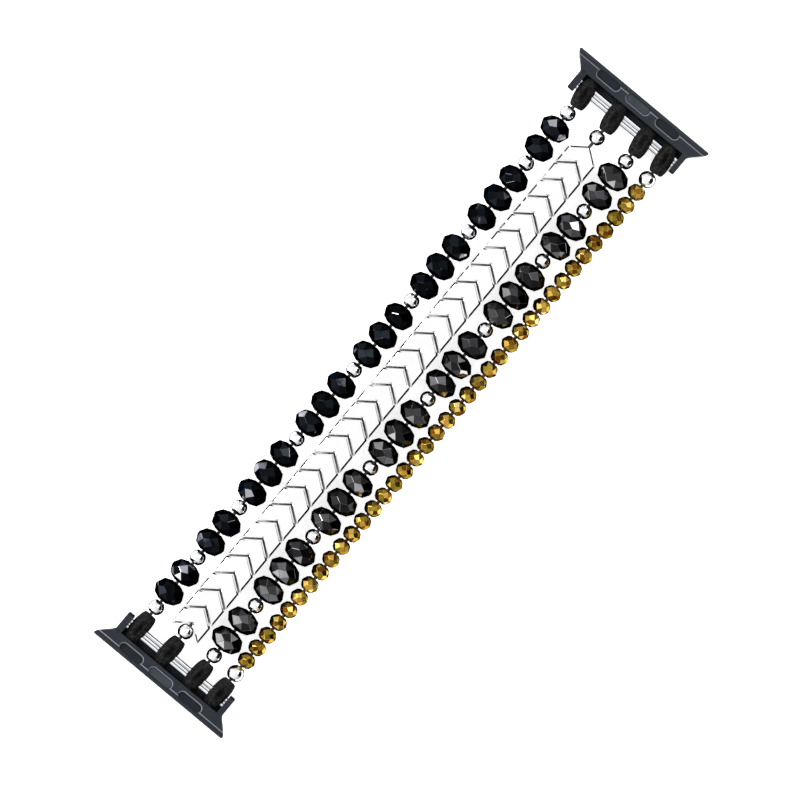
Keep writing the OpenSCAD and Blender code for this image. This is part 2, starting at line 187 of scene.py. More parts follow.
def grow(name: str, stations: Sequence[Station], sides: int) -> bpy.types.Object:
    """Grows a closed form along X: a disc is extruded, scaled and turned from ring to ring.

    Args:
        name: name of the new object.
        stations: its rings, from the lowest x to the highest.
        sides: corners of every ring.

    Returns:
        The new object, with its place in its mesh.
    """
    deselect_all()
    first = stations[0]
    bpy.ops.mesh.primitive_circle_add(
        vertices=sides, radius=first.radius * MM, fill_type="NGON",
        location=(first.x * MM, 0, 0), rotation=(first.turn * math.pi / 180, math.pi / 2, 0),
    )
    piece = bpy.context.object
    piece.name = name
    bpy.ops.object.transform_apply(location=True, rotation=True, scale=True)
    bpy.ops.object.mode_set(mode="EDIT")
    bpy.ops.mesh.select_all(action="SELECT")
    for last, here in zip(stations, stations[1:]):
        bpy.ops.mesh.extrude_region_move(TRANSFORM_OT_translate={"value": ((here.x - last.x) * MM, 0, 0)})
        scale = here.radius / last.radius
        bpy.ops.transform.resize(value=(1, scale, scale), center_override=(here.x * MM, 0, 0))
        if here.turn != last.turn:
            bpy.ops.transform.rotate(
                value=math.radians(here.turn - last.turn), orient_axis="X",
                center_override=(here.x * MM, 0, 0),
            )
    bpy.ops.object.mode_set(mode="OBJECT")
    recalculate(piece)
    return piece


def bore_through(piece: bpy.types.Object, half_length: float, margin: float) -> None:
    """Opens a straight hole along X: both end faces are inset, deleted and bridged.

    Args:
        piece: the object to bore, centred on the origin.
        half_length: distance of its end faces from the origin, in millimetres.
        margin: width of the flat rim that stays round the hole, in millimetres.
    """
    make_active(piece)
    bpy.ops.object.mode_set(mode="EDIT")
    pick(piece, "faces", lambda f: abs(f.calc_center_median().x) > (half_length - 1e-3) * MM)
    bpy.ops.mesh.inset(thickness=margin * MM, depth=0)
    bpy.ops.mesh.delete(type="FACE")
    bpy.ops.mesh.select_mode(type="EDGE")
    bpy.ops.mesh.select_all(action="DESELECT")
    bpy.ops.mesh.select_non_manifold()
    bpy.ops.mesh.bridge_edge_loops()
    bpy.ops.object.mode_set(mode="OBJECT")
    recalculate(piece)


def smooth(piece: bpy.types.Object, angle: float = 30) -> None:
    """Shades a piece smooth, and sharp across edges over an angle in degrees."""
    make_active(piece)
    bpy.ops.object.shade_smooth_by_angle(angle=math.radians(angle))


def number_faces(piece: bpy.types.Object, name: str, values: Callable[[bpy.types.MeshPolygon], float]) -> None:
    """Writes one number to each face, which a material can read as an attribute.

    Args:
        piece: the object whose faces are numbered.
        name: name of the attribute.
        values: gives the number of one face.
    """
    numbers = [values(face) for face in piece.data.polygons]
    attribute = piece.data.attributes.get(name) or piece.data.attributes.new(name, "FLOAT", "FACE")
    attribute.data.foreach_set("value", numbers)


def copies(model: bpy.types.Object, name: str, places: Iterable[Matrix], rng: random.Random) -> bpy.types.Object:
    """Sets copies of a model at several places and joins them into one piece. The model stays.

    Each copy has its own mesh, in which every facet and every bead gets its own tone.

    Args:
        model: the object that is copied, modelled round the origin.
        name: name of the joined piece.
        places: one matrix for each copy.
        rng: the source of the tones.

    Returns:
        The joined piece.
    """
    made = []
    for place in places:
        item = model.copy()
        item.data = model.data.copy()
        bpy.context.scene.collection.objects.link(item)
        item.data.transform(place)
        bead_tone = rng.random()
        # A random number for each facet, which the faceted finishes turn into painted light and shade.
        number_faces(item, "facet", lambda face: rng.random())
        number_faces(item, "bead", lambda face: bead_tone)
        made.append(item)
    deselect_all()
    for item in made:
        item.select_set(True)
    bpy.context.view_layer.objects.active = made[0]
    if len(made) > 1:
        bpy.ops.object.join()
    piece = bpy.context.view_layer.objects.active
    piece.name = name
    piece.data.name = name
    return piece


def at(x: float, y: float, z: float, roll: float = 0.0) -> Matrix:
    """A place in millimetres, turned about X by a roll in degrees."""
    return Matrix.Translation(Vector((x, y, z)) * MM) @ Matrix.Rotation(math.radians(roll), 4, "X")


# ----------------------------------------------------------------- finishes


class Recipe:
    """The nodes of one material, on a Principled shader."""

    def __init__(self, name: str) -> None:
        """Makes an empty material with its shader and output."""
        self.material = bpy.data.materials.new(name)
        self.material.use_nodes = True
        self.tree = self.material.node_tree
        self.shader = self.tree.nodes["Principled BSDF"]
        self.place = self.tree.nodes.new("ShaderNodeTexCoord").outputs["Object"]

    def set(self, **values: object) -> None:
        """Sets plain values on the shader's own sockets, named with _ for a space."""
        for name, value in values.items():
            self.shader.inputs[name.replace("_", " ")].default_value = value

    def feed(self, socket: str, source: bpy.types.NodeSocket) -> None:
        """Links an output to a socket of the shader."""
        self.tree.links.new(source, self.shader.inputs[socket])

    def attribute(self, name: str) -> bpy.types.NodeSocket:
        """Reads a number that the faces carry."""
        node = self.tree.nodes.new("ShaderNodeAttribute")
        node.attribute_name = name
        return node.outputs["Fac"]

    def noise(self, scale: float, detail: float = 3, stretch: Point = (1, 1, 1)) -> bpy.types.NodeSocket:
        """Noise on Object coordinates.

        Args:
            scale: waves in a metre.
            detail: octaves.
            stretch: factors on the three coordinates.

        Returns:
            The noise, from 0 to 1.
        """
        mapping = self.tree.nodes.new("ShaderNodeMapping")
        mapping.inputs["Scale"].default_value = stretch
        texture = self.tree.nodes.new("ShaderNodeTexNoise")
        texture.inputs["Scale"].default_value = scale
        texture.inputs["Detail"].default_value = detail
        self.tree.links.new(self.place, mapping.inputs["Vector"])
        self.tree.links.new(mapping.outputs["Vector"], texture.inputs["Vector"])
        return texture.outputs["Fac"]

    def math(self, operation: str, a: bpy.types.NodeSocket | float, b: bpy.types.NodeSocket | float) -> bpy.types.NodeSocket:
        """One arithmetic step.

        Args:
            operation: Blender's name of the step.
            a: first operand, an output or a number.
            b: second operand.

        Returns:
            The result.
        """
        node = self.tree.nodes.new("ShaderNodeMath")
        node.operation = operation
        for i, value in enumerate((a, b)):
            if isinstance(value, (int, float)):
                node.inputs[i].default_value = value
            else:
                self.tree.links.new(value, node.inputs[i])
        return node.outputs[0]

    def ramp(self, source: bpy.types.NodeSocket, stops: Sequence[tuple[float, str]]) -> bpy.types.NodeSocket:
        """Turns a number into a colour.

        Args:
            source: the number.
            stops: positions and colours written as on screen.

        Returns:
            The colour.
        """
        node = self.tree.nodes.new("ShaderNodeValToRGB")
        bar = node.color_ramp
        while len(bar.elements) < len(stops):
            bar.elements.new(1.0)
        for element, (position, colour) in zip(bar.elements, stops):
            element.position = position
            element.color = screen(colour)
        self.tree.links.new(source, node.inputs["Fac"])
        return node.outputs["Color"]

    def spread(self, source: bpy.types.NodeSocket, low: float, high: float) -> bpy.types.NodeSocket:
        """Maps 0 to 1 on to a range."""
        return self.math("ADD", self.math("MULTIPLY", source, high - low), low)

    def bump(self, height: bpy.types.NodeSocket, strength: float, distance: float) -> None:
        """Raises the surface by a height.

        Args:
            height: the pattern.
            strength: its weight from 0 to 1.
            distance: its depth in millimetres.
        """
        node = self.tree.nodes.new("ShaderNodeBump")
        node.inputs["Strength"].default_value = strength
        node.inputs["Distance"].default_value = distance * MM
        self.tree.links.new(height, node.inputs["Height"])
        self.feed("Normal", node.outputs["Normal"])


def screen(colour: str) -> tuple[float, float, float, float]:
    """Turns a colour written as #rrggbb into linear light."""
    parts = [int(colour[i:i + 2], 16) / 255 for i in (1, 3, 5)]
    return (*[c / 12.92 if c <= 0.04045 else ((c + 0.055) / 1.055) ** 2.4 for c in parts], 1.0)


@dataclass(frozen=True)
class FacetedFinish:
    """Polished cut stone, glass or plated glass: every facet and bead differs a little; the facets' differing
    brightness is painted light and shade, for facets that catch or miss the light.

    Attributes:
        name: name of the material.
        lit_and_shaded_tones: colours from the darkest facet to the lightest: painted shade at the dark end and painted
            glints at the palest stops.
        metal: share of metal plating.
        gloss: roughness of the smoothest and the dullest patch.
        veins: share of soft mottling in the tone.
        facets: share of the facet's own number in the tone, the part that paints light and shade on single facets.
        rim: brightness of the reflection near the outline, for plated pieces.
        grain: waves of the mottling in a metre.
    """

    name: str
    lit_and_shaded_tones: tuple[tuple[float, str], ...]
    metal: float
    gloss: tuple[float, float]
    veins: float
    facets: float
    rim: float = 1.0
    grain: float = 700.0

    def make(self) -> bpy.types.Material:
        """Builds the material."""
        r = Recipe(self.name)
        mottling = r.noise(self.grain, 4)
        # The facet's random number paints it lit or shaded; the mottling is the stone's own.
        own = r.math("MULTIPLY", r.attribute("facet"), self.facets)
        bead = r.math("MULTIPLY", r.attribute("bead"), 1 - self.facets - self.veins)
        tone = r.math("ADD", r.math("ADD", own, bead), r.math("MULTIPLY", mottling, self.veins))
        r.feed("Base Color", r.ramp(tone, self.lit_and_shaded_tones))
        r.feed("Roughness", r.spread(r.noise(self.grain * 3, 2), *self.gloss))
        r.set(Metallic=self.metal, Specular_Tint=(self.rim,) * 3 + (1,))
        r.bump(r.noise(self.grain * 5, 2), 0.12, 0.01)
        return r.material


@dataclass(frozen=True)
class MetalFinish:
    """Bare or coated metal with fine working marks, and painted shade where the faces carry it.

    Attributes:
        name: name of the material.
        dark: colour in the marks.
        light: colour between the marks.
        metal: share of metal.
        gloss: roughness of the smoothest and the dullest patch.
        scale: marks in a metre.
        stretch: factors on the coordinates, which draw the marks out along one of them.
        depth: depth of the marks in millimetres.
        rim: brightness of the reflection near the outline.
        painted_shade: colour of the painted shade, laid where the faces' "tarnish" is 1; on the chevrons it stands in
            for the dark reflection in their bevels.
    """

    name: str
    dark: str
    light: str
    metal: float
    gloss: tuple[float, float]
    scale: float
    stretch: Point = (1, 1, 1)
    depth: float = 0.004
    rim: float = 1.0
    painted_shade: str = "#38383a"

    def make(self) -> bpy.types.Material:
        """Builds the material."""
        r = Recipe(self.name)
        marks = r.noise(self.scale, 3, self.stretch)
        clouds = r.noise(self.scale / 12, 3)
        tone = r.math("MULTIPLY", r.math("ADD", marks, clouds), 0.5)
        # Painted shade: where the faces' number is 1 the tone drops to the darkest stop.
        unshaded = r.math("SUBTRACT", 1, r.attribute("painted_shade"))
        stops = ((0.0, self.painted_shade), (0.3, self.dark), (0.7, self.light))
        r.feed("Base Color", r.ramp(r.math("MULTIPLY", tone, unshaded), stops))
        r.feed("Roughness", r.spread(clouds, *self.gloss))
        r.set(Metallic=self.metal, Specular_Tint=(self.rim,) * 3 + (1,))
        r.bump(marks, 0.25, self.depth)
        return r.material


@dataclass(frozen=True)
class CoatedFinish:
    """Dark coated metal, with painted highlight along some edges and painted shade in its hollows.

    Attributes:
        name: name of the material.
        painted_recess_shade: colour of painted shade, where the faces' "wear" is 0.
        dark: darkest colour of the coat, where it is 0.5.
        light: lightest colour of the coat.
        painted_highlight: colour of painted highlight, where it is 1.
    """

    name: str
    painted_recess_shade: str
    dark: str
    light: str
    painted_highlight: str

    def make(self) -> bpy.types.Material:
        """Builds the material."""
        r = Recipe(self.name)
        grain, clouds = r.noise(6000, 3), r.noise(450, 3)
        marks = r.math("MULTIPLY", r.math("ADD", grain, clouds), 0.15)
        # The faces' number lays painted shade at 0 and painted highlight at 1; grain and clouds are the coat's own
        # marks.
        tone = r.math("ADD", r.math("MULTIPLY", r.attribute("painted_light"), 0.7), marks)
        stops = ((0.0, self.painted_recess_shade), (0.3, self.painted_recess_shade), (0.42, self.dark), (0.6, self.light), (0.8, self.painted_highlight))
        r.feed("Base Color", r.ramp(tone, stops))
        r.feed("Roughness", r.spread(clouds, 0.3, 0.42))
        r.set(Metallic=0.6)
        r.bump(grain, 0.25, 0.004)
        return r.material


@dataclass(frozen=True)
class SatinBeadFinish:
    """Satin black stone of the end beads, with a darker oval on each broad face."""

    name: str = "satin_black_bead"
    base: str = "#151515"
    oval: str = "#020202"

    def make(self) -> bpy.types.Material:
        """Builds the material."""
        r = Recipe(self.name)
        grain = r.noise(2600, 4)
        tone = r.math("ADD", r.math("MULTIPLY", r.attribute("oval"), 0.6), r.spread(grain, -0.4, 1.0))
        r.feed("Base Color", r.ramp(tone, ((0.0, "#2a2a2a"), (0.4, self.base), (0.85, self.oval))))
        r.feed("Roughness", r.spread(grain, 0.45, 0.7))
        r.set(Specular_IOR_Level=0.03)
        r.bump(grain, 0.7, 0.05)
        return r.material


@dataclass(frozen=True)
class ElasticFinish:
    """Black elastic cord with its fine woven sleeve."""

    name: str = "black_elastic"

    def make(self) -> bpy.types.Material:
        """Builds the material."""
        r = Recipe(self.name)
        weave = r.tree.nodes.new("ShaderNodeTexWave")
        weave.wave_type = "BANDS"
        weave.bands_direction = "DIAGONAL"
        weave.inputs["Scale"].default_value = 2200
        weave.inputs["Distortion"].default_value = 1.5
        r.tree.links.new(r.place, weave.inputs["Vector"])
        r.feed("Base Color", r.ramp(weave.outputs["Fac"], ((0.0, "#0c0c0d"), (1.0, "#2b2b2e"))))
        r.set(Roughness=0.7)
        r.bump(weave.outputs["Fac"], 0.5, 0.02)
        return r.material


# In these ramps the darkest stops are painted shade and the palest are painted glints on single facets.
AGATE = FacetedFinish(
    "black_agate",
    ((0.0, "#08090a"), (0.50, "#0f1215"), (0.75, "#1a1f23"), (0.86, "#272c31"), (0.90, "#a1a0a9"), (1.0, "#cac8cf")),
    metal=1.0, gloss=(0.04, 0.12), veins=0.1, facets=0.85, rim=0.05,
)
CRYSTAL = FacetedFinish(
    "smoky_crystal",
    ((0.0, "#1a1a1a"), (0.45, "#2a2a2b"), (0.65, "#3c3c3e"), (0.76, "#626264"), (0.86, "#969698"), (1.0, "#e8e8e9")),
    metal=1.0, gloss=(0.05, 0.14), veins=0.1, facets=0.8, rim=0.2,
)
GOLD = FacetedFinish(
    "plated_gold",
    ((0.0, "#3a1c06"), (0.25, "#6e4212"), (0.42, "#8f7a2c"), (0.55, "#665a1a"), (0.68, "#b98d3c"), (0.82, "#dcc060"), (1.0, "#fbf4bc")),
    metal=1.0, gloss=(0.14, 0.28), veins=0.15, facets=0.75, rim=0.1, grain=900.0,
)
SILVER = MetalFinish("polished_silver", "#f6f6f7", "#ffffff", 1.0, (0.05, 0.10), 900, depth=0.0004)
CHROME = MetalFinish("chrome_ball", "#e4e5e8", "#f4f4f6", 1.0, (0.02, 0.05), 700, depth=0.001, rim=0.1)
STEEL = MetalFinish("steel_rod", "#b9bcc1", "#dfe1e5", 1.0, (0.16, 0.26), 5000, (1, 0.04, 1), rim=0.1)
# The first colour is painted shade for the lug's pocket floors and walls and the last is painted highlight for its
# chamfers; the latch's faces all carry the middle number, so no painted light is laid on it.
LUG = CoatedFinish("slate_lug", "#0a1119", "#14191f", "#22282f", "#6f757c")
LATCH = CoatedFinish("slate_latch", "#12171c", "#232a30", "#3b444a", "#8a9198")


# ------------------------------------------------------------- sub-assemblies


def dress(piece: bpy.types.Object, material: bpy.types.Material, body: str, nodes: Sequence[str]) -> None:
    """Gives a finished piece its material and body, and hides the CAD nodes that it stands for.

    Args:
        piece: the finished piece.
        material: its finish.
        body: the body that it rides on.
        nodes: the CAD nodes that it replaces.
    """
    piece.data.materials.clear()
    piece.data.materials.append(material)
    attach(piece, body)
    if nodes:
        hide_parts(*nodes)
    LOG.info("%s: %d faces on %s", piece.name, len(piece.data.polygons), body)


@dataclass(frozen=True)
class Layout:
    """Where the beads, balls, chevrons and folds lie along the band, in millimetres, as in the part's source."""

    bead_pitch: float = 3.72
    ball_slot: float = 2.29
    agate_groups: tuple[int, ...] = (2, 2, 3, 3, 3, 3, 3, 2)
    crystal_groups: tuple[int, ...] = (2, 3, 3, 3, 3, 3, 2, 2)
    row_breaks: tuple[int, ...] = (4, 6, 9, 12, 16, 18, 21, 24, 27)
    fold_shift: float = 0.36
    chevron_count: int = 28
    gold_count: int = 38
    ball_d: float = 2.4
    gold_ball_d: float = 2.6
    notch_gap: float = 0.42
    point_gap: float = 0.2
    chevron_v: float = 1.92
    axis_z: float = 2.655

    def slots(self, groups: Sequence[int]) -> list[tuple[float, bool]]:
        """Length of every item of a strand, and whether it is a ball."""
        items = [(self.ball_slot, True)]
        for count in groups:
            items += [(self.bead_pitch, False)] * count + [(self.ball_slot, True)]
        return items

    @property
    def strand_l(self) -> float:
        """Length of a strand of large beads."""
        return sum(length for length, _ in self.slots(self.agate_groups))

    @property
    def end_x(self) -> float:
        """Distance of the end balls from the middle."""
        return (self.strand_l - self.ball_slot) / 2

    def centres(self, groups: Sequence[int], balls: bool) -> list[float]:
        """Middles of the beads of a strand, or of its balls without the end balls."""
        found, x = [], -self.strand_l / 2
        for length, is_ball in self.slots(groups):
            if is_ball == balls:
                found.append(x + length / 2)
            x += length
        return found[1:-1] if balls else found

    @property
    def folds(self) -> list[float]:
        """The fold lines between the rows."""
        lengths = [length for length, _ in self.slots(self.agate_groups)]
        return [sum(lengths[:n]) - self.strand_l / 2 - self.fold_shift for n in self.row_breaks]

    @property
    def rows(self) -> range:
        """Numbers of the rows, from lug A."""
        return range(1, len(self.row_breaks) + 2)

    def row_of(self, x: float) -> int:
        """The row that holds a place along the band."""
        return 1 + sum(x > fold for fold in self.folds)

    @property
    def chevron_pitch(self) -> float:
        """Distance from one chevron to the next."""
        return (self.end_x - self.ball_d / 2 - self.point_gap - self.chevron_x0) / self.chevron_count

    @property
    def chevron_x0(self) -> float:
        """Place of the first chevron's notch."""
        return -self.end_x + self.ball_d / 2 + self.notch_gap

    @property
    def chevrons(self) -> list[float]:
        """Places of the chevrons' notches."""
        return [self.chevron_x0 + self.chevron_pitch * i for i in range(self.chevron_count)]

    @property
    def gold_pitch(self) -> float:
        """Distance from one gold bead to the next."""
        return 2 * (self.end_x - self.gold_ball_d / 2) / self.gold_count

    @property
    def golds(self) -> list[float]:
        """Middles of the gold beads."""
        return [self.gold_pitch * (i + 0.5 - self.gold_count / 2) for i in range(self.gold_count)]


LAYOUT = Layout()


@dataclass
class FacetedStrand:
    """A strand of cut beads: two rows of lozenge facets round the girdle and a faceted cone at each end."""

    strand: Strand
    node: str
    slot: str
    finish: FacetedFinish
    diameter: float
    length: float
    flat_r: float
    centres: list[float]
    edge: float
    facets: int = 8
    girdle_x: float = 0.14
    shoulder_x: float = 0.74
    bore_r: float = 0.55

    def model(self) -> bpy.types.Object:
        """Cuts one bead, modelled round the origin."""
        half, r, step = self.length / 2, self.diameter / 2, 180 / self.facets
        dip = (1 - math.cos(math.radians(step))) * (self.shoulder_x + self.girdle_x) / (2 * self.girdle_x)
        shoulder_r = r * (1 - dip)
        bead = grow("bead", [
            Station(-half, self.flat_r), Station(-half * self.shoulder_x, shoulder_r),
            Station(-half * self.girdle_x, r, step), Station(half * self.girdle_x, r, 2 * step),
            Station(half * self.shoulder_x, shoulder_r, 3 * step), Station(half, self.flat_r, 3 * step),
        ], self.facets)
        make_active(bead)
        bpy.ops.object.mode_set(mode="EDIT")
        pick(bead, "faces", lambda f: len(f.verts) == 4)
        bpy.ops.mesh.quads_convert_to_tris(quad_method="SHORTEST_DIAGONAL")
        bpy.ops.mesh.select_all(action="SELECT")
        bpy.ops.mesh.dissolve_limited(angle_limit=math.radians(1))
        bpy.ops.object.mode_set(mode="OBJECT")
        bore_through(bead, half, self.flat_r * math.cos(math.radians(step)) - self.bore_r)
        round_edges(bead, self.edge, 1)
        return bead

    def build(self, rng: random.Random) -> None:
        """Cuts the strand's beads row by row and dresses them."""
        bead, material = self.model(), self.finish.make()
        for row in LAYOUT.rows:
            places = [
                at(x, self.strand.value, LAYOUT.axis_z, rng.uniform(0, 360 / self.facets))
                for x in self.centres if LAYOUT.row_of(x) == row
            ]
            piece = copies(bead, f"{self.node}_{row}_cut", places, rng)
            dress(piece, material, f"row_{row}", [f"{self.node}_{row}"])
        bpy.data.objects.remove(bead)


@dataclass
class ChevronStrand:
    """The strand of polished chevrons, nested point to notch."""

    length: float = 2.996
    bevel: float = 0.25
    width: float = 5.1
    depth: float = 1.92
    thickness: float = 2.2
    edge: float = 0.03
    bore_r: float = 0.55

    def model(self) -> bpy.types.Object:
        """Shapes one chevron with its notch at the origin: a bar is cut across its middle, which is drawn forwards."""
        deselect_all()
        bpy.ops.mesh.primitive_cube_add(size=1, location=((self.length / 2 - self.depth) * MM, 0, 0))
        chevron = bpy.context.object
        chevron.scale = (self.length * MM, self.width * MM, self.thickness * MM)
        bpy.ops.object.transform_apply(location=True, rotation=True, scale=True)
        bpy.ops.object.mode_set(mode="EDIT")
        bpy.ops.mesh.select_all(action="SELECT")
        bpy.ops.mesh.bisect(plane_co=(0, 0, 0), plane_no=(0, 1, 0))
        pick(chevron, "verts", lambda v: abs(v.co.y) < 0.01 * MM)
        bpy.ops.transform.translate(value=(self.depth * MM, 0, 0))
        pick(chevron, "edges", self.is_rim)
        bpy.ops.mesh.bevel(offset=self.bevel * MM, segments=1)
        bpy.ops.object.mode_set(mode="OBJECT")
        round_edges(chevron, self.edge, 1, 25)
        drill = grow("drill", [Station(-self.width, self.bore_r), Station(2 * self.width, self.bore_r)], 16)
        apply_modifier(chevron, "BOOLEAN", object=drill, operation="DIFFERENCE", solver="EXACT")
        bpy.data.objects.remove(drill)
        recalculate(chevron)
        # Painted shade on the bevels facing -Y, in place of their dark reflection.
        number_faces(chevron, "painted_shade", self.painted_shade)
        return chevron

    def is_rim(self, edge: bmesh.types.BMEdge) -> bool:
        """Whether an edge runs round the top or the underside, and isn't the middle line of either."""
        flat = all(abs(v.co.z) > 0.49 * self.thickness * MM for v in edge.verts)
        return flat and edge.verts[0].co.z * edge.verts[1].co.z > 0 and any(abs(v.co.y) > 0.01 * MM for v in edge.verts)

    def painted_shade(self, face: bpy.types.MeshPolygon) -> float:
        """How much painted shade a face gets, standing in for the dark reflection in the bevels: the bevel of the side
        at -Y most, and the front bevel of the wing there a little.
        """
        normal = face.normal
        if not 0.2 < normal.z < 0.95:
            return 0.0
        if abs(normal.y) > 2 * abs(normal.x):
            return 1.0 if normal.y < 0 else 0.3
        return 0.45 if face.center.y < 0 < normal.x else 0.0

    def build(self, rng: random.Random) -> None:
        """Sets the chevrons row by row and dresses them."""
        chevron, material = self.model(), SILVER.make()
        middle = (LAYOUT.chevron_pitch - self.depth) / 2
        for row in LAYOUT.rows:
            places = [
                at(x, Strand.CHEVRON.value, LAYOUT.axis_z)
                for x in LAYOUT.chevrons if LAYOUT.row_of(x + middle) == row
            ]
            piece = copies(chevron, f"silver_chevrons_{row}_polished", places, rng)
            dress(piece, material, f"row_{row}", [f"silver_chevrons_{row}"])
        bpy.data.objects.remove(chevron)


@dataclass
class ChromeBalls:
    """The chrome spacer balls in the strands, and the four end balls at each end."""

    sides: int = 40
    rings: int = 20
    bore_r: float = 0.55

    def model(self, diameter: float) -> bpy.types.Object:
        """Turns one bored ball round the origin."""
        r = diameter / 2
        least = math.degrees(math.asin((self.bore_r + 0.03) / r))
        angles = [180 - least - (180 - 2 * least) * i / self.rings for i in range(self.rings + 1)]
        ball = grow("ball", [
            Station(r * math.cos(math.radians(a)), r * math.sin(math.radians(a))) for a in angles
        ], self.sides)
        bore_through(ball, r * math.cos(math.radians(least)), 0.03)
        smooth(ball, 40)
        return ball

    def build(self, rng: random.Random) -> None:
        """Sets the spacer balls and the end balls and dresses them."""
        small, large, material = self.model(LAYOUT.ball_d), self.model(LAYOUT.gold_ball_d), CHROME.make()
        spots = [(x, Strand.AGATE.value) for x in LAYOUT.centres(LAYOUT.agate_groups, True)]
        spots += [(x, Strand.CRYSTAL.value) for x in LAYOUT.centres(LAYOUT.crystal_groups, True)]
        for row in LAYOUT.rows:
            places = [at(x, y, LAYOUT.axis_z) for x, y in spots if LAYOUT.row_of(x) == row]
            if places:
                piece = copies(small, f"spacer_balls_{row}_chrome", places, rng)
                dress(piece, material, f"row_{row}", [f"spacer_balls_{row}"])
        for end in End:
            x = end.sign * LAYOUT.end_x
            three = [at(x, s.value, LAYOUT.axis_z) for s in (Strand.AGATE, Strand.CHEVRON, Strand.CRYSTAL)]
            piece = copies(small, f"end_balls_{end.value}_chrome", three, rng)
            last = copies(large, f"gold_end_ball_{end.value}", [at(x, Strand.GOLD.value, LAYOUT.axis_z)], rng)
            dress(piece, material, f"end_{end.value}", [f"end_balls_{end.value}"])
            dress(last, material, f"end_{end.value}", [f"end_balls_{end.value}"])
        bpy.data.objects.remove(small)
        bpy.data.objects.remove(large)


